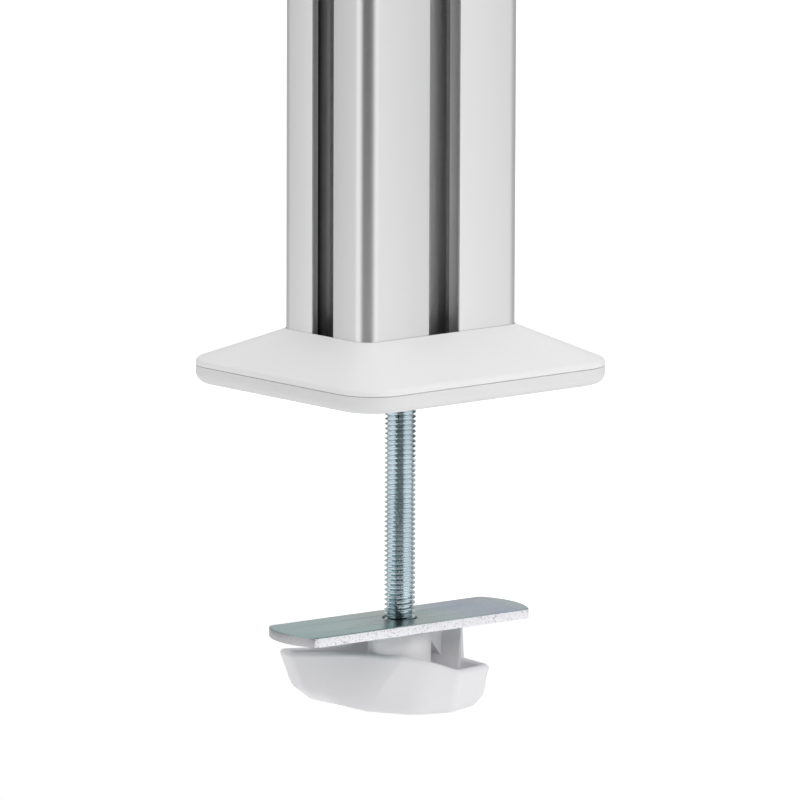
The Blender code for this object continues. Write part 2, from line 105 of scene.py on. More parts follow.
# Base plate and cover. Every size from here on is in millimetres.
BASE_X = 84.0
BASE_Y = 73.6
BASE_CORNER = 10.8
PLATE_LOW = 0.4
PLATE_HIGH = 4.85
PLATE_EDGE = 2.6
PLATE_RIM = 0.12
PAD_INSET = 6.0
PAD_RECESS = 0.6
PAD_CORNER = 5.0
SCREW_RADIUS = 2.45
SCREW_HEAD_RADIUS = 4.6
SCREW_SEAT = 0.5
SCREW_NECK = 2.8
COVER_LOW = PLATE_HIGH + GAP
SKIRT = 0.17  # how far the cover reaches below its CAD solid, to leave only a thin seam
COVER_BAND = 0.6
COVER_SHOULDER = 1.0
COVER_TURN = math.radians(66)
COVER_HIGH = 14.8
COVER_WALL = 2.3
COVER_CLEARANCE = 0.12
COVER_COLLAR = 2.6
COVER_LIP = ((0.9, 0.28), (0.45, 0.08), (0.2, 0.0), (0.0, 0.15))  # how far out from the opening and down

# Column: extruded profile with a T-slot in each face. A slot's sizes are widths and depths.
COLUMN_X = 51.3
COLUMN_Y = 33.6
COLUMN_CORNER = 4.3
COLUMN_LOW = PLATE_HIGH + GAP
COLUMN_LENGTH = 300.0
MOUTH_EDGE = 0.5
SLOT_WIDE = {"mouth": 9.4, "lip": 4.0, "depth": 8.0, "cavity": 16.0}
SLOT_NARROW = {"mouth": 7.75, "lip": 2.0, "depth": 6.9, "cavity": 12.0}
CORE_X = 33.8
CORE_Y = 14.2
CHAMBER_X = (9.8, 15.2)
CHAMBER_Y = (9.0, 14.9)
PORT_X = 19.6
PORT_Y = 11.2
PORT_RADIUS = 2.8

# Rod: M8 thread. Its profile over one pitch is a share of the pitch and a share of the thread's height.
ROD_RADIUS = 3.95
ROD_ROOT = 3.24
ROD_PITCH = 1.25
ROD_LOW = -82.0
ROD_HIGH = 18.0
ROD_END_RADIUS = 2.9
ROD_SIDES = 56
THREAD_PROFILE = ((0.0, 1.0), (0.07, 1.0), (0.40, 0.0), (0.60, 0.0), (0.93, 1.0), (1.0, 1.0))
THREAD_PHASES = (0.0, 0.07, 0.18, 0.29, 0.40, 0.50, 0.60, 0.71, 0.82, 0.93)

# Clamp plate: sheared strip with bowed ends. The film's tints run along it between two places.
CLAMP_X = 73.0
CLAMP_Y = 20.9
CLAMP_END_RADIUS = 18.2
CLAMP_CORNER = 2.0
CLAMP_THICKNESS = 2.5
CLAMP_HIGH = -59.8
CLAMP_HOLE = 4.4
CLAMP_YAW = -3.6
FILM_START = -21.5
FILM_END = 51.5
FILM_WANDER = 0.03

# Wing knob: hollow moulding with a boss, in its own frame, x along its long side.
KNOB_YAW = -40.5
KNOB_HIGH = CLAMP_HIGH - CLAMP_THICKNESS - 2 * GAP
KNOB_LOW = -83.2
KNOB_WALL = 1.9
KNOB_FLOOR = 2.0
BOSS_RADIUS = 8.0
BOSS_FOOT_RADIUS = 8.4
BOSS_FOOT_HIGH = -74.2
KNOB_BORE = 4.5
THRUST_RADIUS = 6.7
THRUST_HEIGHT = 1.2
KNOB_NUT_LOW = -82.0
KNOB_NUT_HEIGHT = 6.3
NUT_FLATS = 13.0
GUSSET_START = (6.2, 0.2)
GUSSET_YAW = 57.0
GUSSET_THICKNESS = 1.6
GUSSET_OUTLINE = ((0.0, -64.0), (7.9, -72.0), (7.9, -63.1), (0.0, -63.1))
# Corners of the outer skin, round the wing from its narrow end along the thumb hollow and back along
# the tall rear wall: the place at the rim, the place at the foot, and how far the corner is softened.
KNOB_CORNERS = (
    ((-27.8, -2.6, -68.7), (-22.4, -0.9, -81.0), 1.6),
    ((-14.0, -4.0, -68.3), (-15.0, -3.4, -82.1), 4.0),
    ((-7.6, -6.0, -68.2), (-11.2, -5.0, -82.7), 2.4),
    ((0.2, -10.3, -68.2), (-8.0, -6.4, -83.1), 0.5),
    ((8.0, -10.9, -69.2), (3.4, -10.3, KNOB_LOW), 3.4),
    ((15.0, -9.4, -71.7), (13.2, -7.2, -83.1), 1.2),
    ((23.1, 0.0, -71.8), (19.9, 0.0, -82.4), 1.5),
    ((18.2, 5.2, -71.5), (15.9, 4.2, -83.0), 2.0),
    ((16.4, 6.2, -71.2), (14.6, 5.0, -83.1), 0.3),
    ((15.92, 6.33, KNOB_HIGH), (14.12, 5.13, -83.1), 0.3),
    ((3.0, 9.7, KNOB_HIGH), (2.8, 8.3, KNOB_LOW), 3.0),
    ((-6.0, 9.1, -64.3), (-5.4, 7.8, -83.1), 2.5),
    ((-13.0, 8.2, -68.2), (-11.8, 6.9, -82.7), 3.0),
    ((-22.0, 7.1, -68.9), (-19.0, 5.7, -81.8), 3.0),
    ((-30.6, 6.1, -69.0), (-23.9, 4.3, -81.3), 1.6),
)
# Where the skin bulges past the straight line from foot to rim, by corner number.
KNOB_BELLY = {
    0: (-25.9, -2.0, -75.5),
    6: (22.4, 0.0, -75.5),
    9: (14.93, 5.67, -77.7),
    14: (-28.9, 5.7, -74.8),
}
KNOB_BILGE = {0: (-24.7, -1.5, -78.6), 6: (21.6, 0.0, -79.6), 14: (-27.3, 5.1, -78.3)}
KNOB_BELLY_SHARE = 0.45
KNOB_BILGE_SHARE = 0.12
CORNER_STEPS = 8


# Geometry helpers. Sizes are in millimetres.


def metres(*values):
    return tuple(value * MM for value in values)


def shade(mesh, angle):
    mesh.shade_smooth()
    mesh.set_sharp_from_angle(angle=math.radians(angle))


def object_from_bmesh(name, bm, smooth=30):
    bmesh.ops.recalc_face_normals(bm, faces=bm.faces)
    mesh = bpy.data.meshes.new(name)
    bm.to_mesh(mesh)
    bm.free()
    shade(mesh, smooth)
    obj = bpy.data.objects.new(name, mesh)
    bpy.context.scene.collection.objects.link(obj)
    return obj


def prism(name, outlines, low, high, smooth=30):
    """A flat outline given thickness from low to high. Outlines after the first are holes."""
    curve = bpy.data.curves.new(name, "CURVE")
    curve.dimensions = "2D"
    curve.fill_mode = "BOTH"
    curve.extrude = (high - low) / 2 * MM
    for outline in outlines:
        spline = curve.splines.new("POLY")
        spline.points.add(len(outline) - 1)
        spline.use_cyclic_u = True
        for point, (x, y) in zip(spline.points, outline):
            point.co = (x * MM, y * MM, 0.0, 1.0)
    guide = bpy.data.objects.new(name + "_outline", curve)
    bpy.context.scene.collection.objects.link(guide)
    guide.location.z = (low + high) / 2 * MM
    bpy.context.view_layer.update()
    evaluated = guide.evaluated_get(bpy.context.evaluated_depsgraph_get())
    mesh = bpy.data.meshes.new_from_object(evaluated)
    place = guide.matrix_world.copy()
    bpy.data.objects.remove(guide, do_unlink=True)
    bm = bmesh.new()
    bm.from_mesh(mesh)
    bpy.data.meshes.remove(mesh)
    bmesh.ops.remove_doubles(bm, verts=bm.verts, dist=1e-6)
    bm.transform(place)
    return object_from_bmesh(name, bm, smooth)


def loft(name, rings, closed=False, smooth=35):
    """Skins rings of equal length. A closed loft joins its last ring to its first, others are capped."""
    bm = bmesh.new()
    rows = [[bm.verts.new(metres(*point)) for point in ring] for ring in rings]
    pairs = list(zip(rows, rows[1:]))
    if closed:
        pairs.append((rows[-1], rows[0]))
    for lower, upper in pairs:
        for i in range(len(lower)):
            j = (i + 1) % len(lower)
            bm.faces.new((lower[i], lower[j], upper[j], upper[i]))
    if not closed:
        bmesh.ops.triangulate(bm, faces=[bm.faces.new(rows[0]), bm.faces.new(rows[-1])])
    return object_from_bmesh(name, bm, smooth)


def revolve(name, profile, steps=64):
    """A solid of revolution from a list of (radius, height) that starts and ends on the axis."""
    rings = []
    for radius, z in profile:
        ring = [(radius * math.cos(a), radius * math.sin(a), z) for a in turn_angles(steps)]
        rings.append(ring)
    return loft(name, rings)


def turn_angles(steps):
    return [2 * math.pi * i / steps for i in range(steps)]


def quarter_turn(steps):
    return [math.pi / 2 * i / steps for i in range(steps + 1)]


def boolean(obj, other, operation="DIFFERENCE"):
    """Joins or cuts obj with a helper at once, and removes the helper."""
    modifier = obj.modifiers.new("cut", "BOOLEAN")
    modifier.operation = operation
    modifier.solver = "EXACT"
    modifier.object = other
    bpy.context.view_layer.update()
    evaluated = obj.evaluated_get(bpy.context.evaluated_depsgraph_get())
    mesh = bpy.data.meshes.new_from_object(evaluated)
    obj.modifiers.clear()
    obj.data = mesh
    bpy.data.objects.remove(other, do_unlink=True)


def arc(centre_x, centre_y, radius, start, end, steps):
    angles = [math.radians(start + (end - start) * i / steps) for i in range(steps + 1)]
    return [(centre_x + radius * math.cos(a), centre_y + radius * math.sin(a)) for a in angles]


def circle(x, y, radius, sides=64):
    return arc(x, y, radius, 0, 360, sides)[:-1]


def hexagon(flats):
    return circle(0, 0, flats / math.sqrt(3), 6)


def rectangle(low_x, low_y, high_x, high_y):
    return [(low_x, low_y), (high_x, low_y), (high_x, high_y), (low_x, high_y)]


def rounded_rectangle(size_x, size_y, radius, steps=16):
    x, y = size_x / 2 - radius, size_y / 2 - radius
    centres = ((x, y), (-x, y), (-x, -y), (x, -y))
    return [
        point
        for quarter, (cx, cy) in enumerate(centres)
        for point in arc(cx, cy, radius, 90 * quarter, 90 * quarter + 90, steps)
    ]


def at_height(outline, z):
    return [(x, y, z) for x, y in outline]


def four_ways(x, y):
    return [(x, y), (-x, y), (-x, -y), (x, -y)]


# Material helpers.


def add(tree, kind, inputs=None, **settings):
    made = tree.nodes.new(kind)
    for key, value in settings.items():
        setattr(made, key, value)
    for key, value in (inputs or {}).items():
        if isinstance(value, bpy.types.NodeSocket):
            tree.links.new(value, made.inputs[key])
        else:
            made.inputs[key].default_value = value
    return made


def new_material(name, **sockets):
    made = bpy.data.materials.new(name)
    made.use_nodes = True
    shader = made.node_tree.nodes["Principled BSDF"]
    for key, value in sockets.items():
        shader.inputs[key.replace("_", " ")].default_value = value
    return made, made.node_tree, shader


def coordinates(tree, scale=(1.0, 1.0, 1.0)):
    place = add(tree, "ShaderNodeTexCoord").outputs["Object"]
    return add(tree, "ShaderNodeMapping", {"Vector": place, "Scale": scale}).outputs["Vector"]


def noise(tree, vector, scale, detail=4.0, rough=0.5):
    inputs = {"Vector": vector, "Scale": scale, "Detail": detail, "Roughness": rough}
    return add(tree, "ShaderNodeTexNoise", inputs).outputs["Fac"]


def ramp(tree, factor, stops):
    made = add(tree, "ShaderNodeValToRGB", {"Fac": factor})
    elements = made.color_ramp.elements
    while len(elements) < len(stops):
        elements.new(0.5)
    for element, (position, colour) in zip(elements, stops):
        element.position = position
        element.color = (*colour, 1.0) if len(colour) == 3 else colour
    return made.outputs["Color"]


def spread(tree, factor, low, high):
    """The factor's middle part stretched to run from low to high."""
    inputs = {"Value": factor, "From Min": 0.3, "From Max": 0.7, "To Min": low, "To Max": high}
    return add(tree, "ShaderNodeMapRange", inputs).outputs["Result"]


def bump(tree, shader, height, strength, distance):
    inputs = {"Height": height, "Strength": strength, "Distance": distance}
    made = add(tree, "ShaderNodeBump", inputs)
    tree.links.new(made.outputs["Normal"], shader.inputs["Normal"])


def link(tree, value, socket):
    tree.links.new(value, socket)


def grey(value, blue=0.0):
    return (value, value, value * (1 + blue))


def anodised(name, tone, rough, streak):
    """Satin anodised extrusion: die lines run up the profile."""
    made, tree, shader = new_material(name, Metallic=1.0)
    lines = noise(tree, coordinates(tree, (1.0, 1.0, 0.004)), 1400.0, 3.0, 0.6)
    cloud = noise(tree, coordinates(tree, (1.0, 1.0, 0.25)), 28.0, 3.0)
    tones = ((0.3, grey(tone * 0.995)), (0.7, grey(tone * 1.005)))
    swing = 0.03 * streak
    link(tree, ramp(tree, cloud, tones), shader.inputs["Base Color"])
    link(tree, spread(tree, lines, rough - swing, rough + swing), shader.inputs["Roughness"])
    bump(tree, shader, lines, 0.08 * streak, 0.0002)
    return made


def shaded_slot(name):
    """The cavity's side walls and lip backs, with painted shade: dark behind the lip, lighter towards the
    floor.
    """
    made, tree, shader = new_material(name, Metallic=1.0)
    parts = add(tree, "ShaderNodeSeparateXYZ", {"Vector": coordinates(tree)}).outputs
    shares = []
    for axis, reach, slot in (("X", COLUMN_X / 2, SLOT_NARROW), ("Y", COLUMN_Y / 2, SLOT_WIDE)):
        out = add(tree, "ShaderNodeMath", {0: parts[axis]}, operation="ABSOLUTE").outputs[0]
        ends = {"From Min": (reach - slot["depth"]) * MM, "From Max": (reach - slot["lip"]) * MM}
        shares.append(add(tree, "ShaderNodeMapRange", {"Value": out, **ends}).outputs["Result"])
    painted_shade_share = add(tree, "ShaderNodeMath", {0: shares[0], 1: shares[1]}, operation="MAXIMUM").outputs[0]
    # Painted shade: light grey at the slot floor, near black just behind the lip.
    colours = ((0.0, grey(0.60)), (0.45, grey(0.16)), (0.6, grey(0.05)), (1.0, grey(0.05)))
    lines = noise(tree, coordinates(tree, (1.0, 1.0, 0.004)), 1400.0, 3.0, 0.6)
    link(tree, ramp(tree, painted_shade_share, colours), shader.inputs["Base Color"])
    link(tree, spread(tree, lines, 0.45, 0.6), shader.inputs["Roughness"])
    return made


def textured_plastic(name, tone, rough, grain=2600.0, depth=0.09):
    """Moulded plastic: fine spark-eroded texture and faint flow shading."""
    made, tree, shader = new_material(name, IOR=1.48)
    fine = noise(tree, coordinates(tree), grain, 3.0, 0.6)
    cloud = noise(tree, coordinates(tree), 22.0, 2.0)
    low = tuple(value * 0.975 for value in tone)
    link(tree, ramp(tree, cloud, ((0.3, low), (0.7, tone))), shader.inputs["Base Color"])
    link(tree, spread(tree, fine, rough - 0.05, rough + 0.06), shader.inputs["Roughness"])
    bump(tree, shader, fine, depth, 0.0002)
    return made


def zinc(name, stops, rough, place, scale, depth=0.05, patchy=0.065):
    """Zinc plating or bright steel: the tint drifts over the surface, and the gloss varies by patchy."""
    made, tree, shader = new_material(name, Metallic=1.0)
    drift = noise(tree, coordinates(tree, place), scale, 3.0, 0.55)
    fine = noise(tree, coordinates(tree), 1800.0, 4.0, 0.6)
    link(tree, ramp(tree, drift, stops), shader.inputs["Base Color"])
    link(tree, spread(tree, fine, rough - patchy, rough + patchy), shader.inputs["Roughness"])
    bump(tree, shader, fine, depth, 0.0002)
    return made


def matt(name, tone):
    """A plain dull surface for the stage."""
    made, _, shader = new_material(name, Roughness=0.9)
    shader.inputs["Base Color"].default_value = (*grey(tone), 1.0)
    return made, shader


def rubber(name):
    made, tree, shader = new_material(name)
    fine = noise(tree, coordinates(tree), 1500.0, 5.0, 0.65)
    link(tree, ramp(tree, fine, ((0.3, grey(0.022)), (0.7, grey(0.045)))), shader.inputs["Base Color"])
    link(tree, spread(tree, fine, 0.7, 0.9), shader.inputs["Roughness"])
    bump(tree, shader, fine, 0.3, 0.0003)
    return made


def passivated(name):
    """Zinc plate's flat sides: the film's tint runs from teal through straw to violet along the strip."""
    made, tree, shader = new_material(name, Metallic=1.0)
    along = add(tree, "ShaderNodeSeparateXYZ", {"Vector": coordinates(tree)}).outputs["X"]
    drift = noise(tree, coordinates(tree), 30.0, 3.0, 0.55)
    inputs = {0: drift, 1: FILM_WANDER, 2: along}
    wander = add(tree, "ShaderNodeMath", inputs, operation="MULTIPLY_ADD").outputs[0]
    inputs = {"Value": wander, "From Min": FILM_START * MM, "From Max": FILM_END * MM}
    share = add(tree, "ShaderNodeMapRange", inputs).outputs["Result"]
    tints = (
        (0.05, (0.37, 0.51, 0.52)),
        (0.35, (0.37, 0.50, 0.50)),
        (0.50, (0.39, 0.46, 0.44)),
        (0.62, (0.40, 0.50, 0.50)),
        (0.80, (0.37, 0.43, 0.55)),
        (0.92, (0.40, 0.46, 0.52)),
        (1.00, (0.44, 0.52, 0.53)),
    )
    fine = noise(tree, coordinates(tree), 1400.0, 3.0, 0.6)
    link(tree, ramp(tree, share, tints), shader.inputs["Base Color"])
    link(tree, spread(tree, fine, 0.26, 0.34), shader.inputs["Roughness"])
    bump(tree, shader, fine, 0.02, 0.0002)
    return made


def sheared_steel(name, torn_depth=0.45, tone=0.90, metal=0.4):
    """The cut edge of a sheared plate: bright, with short dark tears where it was torn."""
    made, tree, shader = new_material(name, Metallic=metal)
    torn = noise(tree, coordinates(tree, (1.0, 1.0, 1.6)), 1500.0, 5.0, 0.65)
    inputs = {"Value": torn, "From Min": 0.36, "From Max": 0.46}
    pits = add(tree, "ShaderNodeMapRange", inputs).outputs["Result"]
    colours = ((0.0, grey(tone - torn_depth, 0.04)), (1.0, grey(tone, 0.04)))
    link(tree, ramp(tree, pits, colours), shader.inputs["Base Color"])
    link(tree, spread(tree, torn, 0.30, 0.50), shader.inputs["Roughness"])
    bump(tree, shader, torn, 0.5 * torn_depth, 0.0003)
    return made


def paint(obj, *materials):
    obj.data.materials.clear()
    for material in materials:
        obj.data.materials.append(material)


# Pieces.


def slotted_outline():
    """The profile's outer edge, anticlockwise from the middle of the +X face."""
    outline = []
    sizes = (COLUMN_X / 2, COLUMN_Y / 2)
    for side in range(4):
        reach = sizes[side % 2]
        slot = SLOT_NARROW if side % 2 == 0 else SLOT_WIDE
        mouth, cavity = slot["mouth"] / 2, slot["cavity"] / 2
        lip, floor = reach - slot["lip"], reach - slot["depth"]
        bend = [
            (mouth + MOUTH_EDGE * (1 - math.cos(a)), reach - MOUTH_EDGE * (1 - math.sin(a)))
            for a in (math.pi / 2 * i / 5 for i in range(6))
        ]
        half = [
            (cavity - 0.6, floor),
            (cavity, floor + 0.6),
            (cavity, lip - 0.3),
            (cavity - 0.3, lip),
            (mouth + 0.3, lip),
            (mouth, lip + 0.3),
        ] + bend
        path = [(-along, out) for along, out in reversed(half)] + half
        cos, sin = round(math.cos(math.pi / 2 * side)), round(math.sin(math.pi / 2 * side))
        outline += [(out * cos - along * sin, out * sin + along * cos) for along, out in path]
        corner_x = (COLUMN_X / 2 - COLUMN_CORNER) * (1 if side in (0, 3) else -1)
        corner_y = (COLUMN_Y / 2 - COLUMN_CORNER) * (1 if side in (0, 1) else -1)
        outline += arc(corner_x, corner_y, COLUMN_CORNER, 90 * side, 90 * side + 90, 20)
    return outline


def slot_zone(face):
    """Which look a face takes: outer face 0, slot mouth 1, slot floor 2, cavity 3; all but the outer face
    carry painted light or shade.
    """
    x, y = abs(face.center.x) / MM, abs(face.center.y) / MM
    for across, along, reach, slot in (
        (y, x, COLUMN_Y / 2, SLOT_WIDE),
        (x, y, COLUMN_X / 2, SLOT_NARROW),
    ):
        depth = reach - across
        if along > slot["cavity"] / 2 + 0.1 or not 0.45 < depth < slot["depth"] + 0.1:
            continue
        if depth > slot["depth"] - 0.1:
            return 2
        return 1 if depth < slot["lip"] - 0.1 and along < slot["mouth"] / 2 + 0.1 else 3
    return 0


def make_column():
    outlines = [slotted_outline(), rectangle(-CORE_X / 2, -CORE_Y / 2, CORE_X / 2, CORE_Y / 2)]
    middle_x, middle_y = sum(CHAMBER_X) / 2, sum(CHAMBER_Y) / 2
    half_x, half_y = CHAMBER_X[1] - middle_x, CHAMBER_Y[1] - middle_y
    for x, y in four_ways(middle_x, middle_y):
        outlines.append(rectangle(x - half_x, y - half_y, x + half_x, y + half_y))
    for x, y in four_ways(PORT_X, PORT_Y):
        outlines.append(circle(x, y, PORT_RADIUS, 32))
    column = prism("column", outlines, COLUMN_LOW, COLUMN_LOW + COLUMN_LENGTH, 40)
    # The slot mouth's look is the face's anodising painted darker, as shade; the slot floor's is painted
    # lighter, as light falling into the slot; the cavity takes the painted-shade gradient.
    looks = (
        anodised("anodised_face", 0.90, 0.28, 0.1),
        anodised("anodised_slot", 0.78, 0.34, 3.0),
        anodised("anodised_floor", 0.97, 0.60, 3.0),
        shaded_slot("anodised_shade"),
    )
    paint(column, *looks)
    for face in column.data.polygons:
        face.material_index = slot_zone(face)
    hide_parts("column_profile")
    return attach(column, "base")


def inset_base(inset, z):
    corner = max(BASE_CORNER - inset, 1.0)
    return at_height(rounded_rectangle(BASE_X - 2 * inset, BASE_Y - 2 * inset, corner), z)


def make_base_plate():
    """A plate with a round along its lower edge, a recess for the pad, and holes for rod and screws."""
    rings = []
    for angle in quarter_turn(12):
        rise = PLATE_EDGE * (1 - math.cos(angle))
        rings.append(inset_base(PLATE_EDGE * (1 - math.sin(angle)), PLATE_LOW + rise))
    for angle in quarter_turn(4):
        drop = PLATE_RIM * (1 - math.sin(angle))
        rings.append(inset_base(PLATE_RIM * (1 - math.cos(angle)), PLATE_HIGH - drop))
    plate = loft("base_plate_shell", rings)
    recess = PLATE_LOW + PAD_RECESS
    inset = 2 * (PAD_INSET - GAP)
    outline = rounded_rectangle(BASE_X - inset, BASE_Y - inset, PAD_CORNER + GAP)
    boolean(plate, prism("recess", [outline], PLATE_LOW - 2, recess))
    bore = ROD_RADIUS + GAP
    boolean(plate, revolve("rod_hole", [(bore, -1.0), (bore, PLATE_HIGH + 1)]))
    head, shank = SCREW_HEAD_RADIUS + GAP, SCREW_RADIUS + GAP
    profile = (
        (head, recess - 1),
        (head, recess + SCREW_SEAT),
        (shank, recess + SCREW_NECK),
        (shank, PLATE_HIGH + 1),
    )
    for x, y in four_ways(PORT_X, PORT_Y):
        hole = revolve("screw_hole", profile, 32)
        hole.location = metres(x, y, 0.0)
        boolean(plate, hole)
    shade(plate.data, 30)
    paint(plate, textured_plastic("powder_coat", (0.80, 0.80, 0.802), 0.40, 1500.0, 0.06))
    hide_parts("base_plate")
    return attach(plate, "base")


def make_cover():
    """A shell: its outer rings run up to the lip round the column, and its inner rings run back down."""
    open_x, open_y = COLUMN_X + 2 * COVER_CLEARANCE, COLUMN_Y + 2 * COVER_CLEARANCE
    open_corner = COLUMN_CORNER + COVER_CLEARANCE
    shoulder = COVER_LOW + COVER_BAND
    skirt = COVER_LOW - SKIRT
    rings = [inset_base(0.1, skirt), inset_base(0.03, skirt + 0.03), inset_base(0.0, skirt + 0.1)]
    steps = 9
    for i in range(steps + 1):
        angle = COVER_TURN * i / steps
        inset = COVER_SHOULDER * (1 - math.cos(angle))
        rings.append(inset_base(inset, shoulder + COVER_SHOULDER * math.sin(angle)))
    for out, down in COVER_LIP:
        rim = rounded_rectangle(open_x + out, open_y + out, open_corner + out / 2)
        rings.append(at_height(rim, COVER_HIGH - down))
    opening = rounded_rectangle(open_x, open_y, open_corner)
    rings.append(at_height(opening, COVER_HIGH - COVER_COLLAR))
    rings.append(inset_base(COVER_WALL + 1.6, shoulder + 0.2))
    rings.append(inset_base(COVER_WALL, skirt))
    cover = loft("cover", rings, closed=True, smooth=40)
    paint(cover, textured_plastic("cover_plastic", (0.90, 0.90, 0.90), 0.46))
    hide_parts("base_cover")
    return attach(cover, "base")


def thread_radius(phase):
    """The thread's profile over one pitch: narrow crest, straight flanks, wider root."""
    for (a, high), (b, low) in zip(THREAD_PROFILE, THREAD_PROFILE[1:]):
        if phase <= b:
            share = high + (low - high) * (phase - a) / (b - a)
            return ROD_ROOT + (ROD_RADIUS - ROD_ROOT) * share
    return ROD_RADIUS


def make_rod():
    """A helical thread as rows that climb one pitch a turn, cut square and chamfered at both ends."""
    phases = THREAD_PHASES
    turns = int((ROD_HIGH - ROD_LOW) / ROD_PITCH) + 2
    bm = bmesh.new()
    rows = []
    for step in range(turns * len(phases)):
        turn, phase = step // len(phases), phases[step % len(phases)]
        row = []
        for side in range(ROD_SIDES + 1):
            angle = 2 * math.pi * side / ROD_SIDES
            z = ROD_LOW + ROD_PITCH * (turn - 1 + phase + side / ROD_SIDES)
            z = min(max(z, ROD_LOW), ROD_HIGH)
            end = ROD_END_RADIUS + min(z - ROD_LOW, ROD_HIGH - z)
            radius = min(thread_radius(phase), end)
            row.append(bm.verts.new(metres(radius * math.cos(angle), radius * math.sin(angle), z)))
        rows.append(row)
    for lower, upper in zip(rows, rows[1:]):
        for i in range(ROD_SIDES):
            bm.faces.new((lower[i], lower[i + 1], upper[i + 1], upper[i]))
    bmesh.ops.remove_doubles(bm, verts=bm.verts, dist=2e-6)
    bmesh.ops.dissolve_degenerate(bm, edges=bm.edges, dist=2e-6)
    bmesh.ops.holes_fill(bm, edges=[edge for edge in bm.edges if edge.is_boundary], sides=0)
    rod = object_from_bmesh("rod", bm, 34)
    stops = ((0.35, (0.62, 0.71, 0.75)), (0.65, (0.72, 0.81, 0.85)))
    paint(rod, zinc("rod_zinc", stops, 0.12, (1.0, 1.0, 0.5), 160.0, 0.0, 0.01))
    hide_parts("threaded_rod")
    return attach(rod, "base")


def bowed_outline():
    end_x = CLAMP_X / 2 - CLAMP_END_RADIUS
    corner_y = CLAMP_Y / 2 - CLAMP_CORNER
    reach = CLAMP_END_RADIUS - CLAMP_CORNER
    corner_x = end_x + math.sqrt(reach**2 - corner_y**2)
    lean = math.degrees(math.atan2(corner_y, corner_x - end_x))
    half = arc(corner_x, -corner_y, CLAMP_CORNER, -90, -lean, 8)
    half += arc(end_x, 0, CLAMP_END_RADIUS, -lean, lean, 30)[1:-1]
    half += arc(corner_x, corner_y, CLAMP_CORNER, lean, 90, 8)
    return half + [(-x, -y) for x, y in half]


def soften_edges(obj, z, width, segments, inner):
    """Rounds the edges of one flat side: round the outline, or round the hole if inner is true."""
    bm = bmesh.new()
    bm.from_mesh(obj.data)
    picked = []
    for edge in bm.edges:
        middle = (edge.verts[0].co + edge.verts[1].co) / 2
        flat = all(abs(vert.co.z - z * MM) < 1e-6 for vert in edge.verts)
        corner = len(edge.link_faces) == 2 and edge.calc_face_angle(0.0) > 1.0
        near = math.hypot(middle.x, middle.y) < 6 * MM
        if flat and corner and near == inner:
            picked.append(edge)
    bmesh.ops.bevel(bm, geom=picked, offset=width * MM, segments=segments, profile=0.5, affect="EDGES")
    bm.to_mesh(obj.data)
    bm.free()


def make_clamp_plate():
    low = CLAMP_HIGH - CLAMP_THICKNESS
    plate = prism("clamp_strip", [bowed_outline(), circle(0, 0, CLAMP_HOLE)], low, CLAMP_HIGH)
    soften_edges(plate, CLAMP_HIGH, 0.32, 4, False)
    soften_edges(plate, low, 0.12, 2, False)
    soften_edges(plate, CLAMP_HIGH, 0.25, 2, True)
    shade(plate.data, 35)
    long_edge, end = sheared_steel("plate_edge"), sheared_steel("plate_end", 0.12, 0.50, 1.0)
    paint(plate, passivated("plate_zinc"), long_edge, end)
    for face in plate.data.polygons:
        if abs(face.normal.z) < 0.5 and math.hypot(face.center.x, face.center.y) > 6 * MM:
            face.material_index = 1 if abs(face.normal.y) > 0.6 else 2
    plate.data.transform(Matrix.Rotation(math.radians(CLAMP_YAW), 4, "Z"))
    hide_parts("clamp_plate")
    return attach(plate, "clamp")


def lerp(a, b, share):
    return tuple(x + (y - x) * share for x, y in zip(a, b))


def inset_corners(corners, inset, lift=0.0):
    """Moves each edge of a ring of corners inwards, and every corner up by lift."""
    moved = []
    for i, corner in enumerate(corners):
        before, after = corners[i - 1], corners[(i + 1) % len(corners)]
        first = Vector((corner[0] - before[0], corner[1] - before[1])).normalized()
        second = Vector((after[0] - corner[0], after[1] - corner[1])).normalized()
        inward_a, inward_b = Vector((-first.y, first.x)), Vector((-second.y, second.x))
        shift = (inward_a + inward_b) * inset / (1 + inward_a.dot(inward_b))
        moved.append((corner[0] + shift.x, corner[1] + shift.y, corner[2] + lift))
    return moved


def soften(corners, reaches):
    """A ring whose corners are replaced by short curves between points on their two edges."""
    ring = []
    for i, corner in enumerate(corners):
        point = Vector(corner)
        ends = []
        for other in (corners[i - 1], corners[(i + 1) % len(corners)]):
            edge = Vector(other) - point
            ends.append(point + edge * min(reaches[i] / edge.length, 0.45))
        for step in range(CORNER_STEPS + 1):
            t = step / CORNER_STEPS
            ring.append(tuple(ends[0] * (1 - t) ** 2 + point * 2 * t * (1 - t) + ends[1] * t**2))
    return ring


def between(bilge, belly, foot, rim):
    """Rings that carry the skin from bilge to belly and on towards the rim along a smooth bulge."""
    rings = [bilge]
    for share in (0.25, 0.5, 0.75):
        ring = []
        for low, mid, high, end in zip(foot, bilge, belly, rim):
            low, mid, high, end = Vector(low), Vector(mid), Vector(high), Vector(end)
            bulge = (mid - low).normalized() - (end - high).normalized()
            reach = 0.35 * share * (1 - share) * (high - mid).length
            ring.append(tuple(mid.lerp(high, share) + bulge * reach))
        rings.append(ring)
    return rings + [belly]


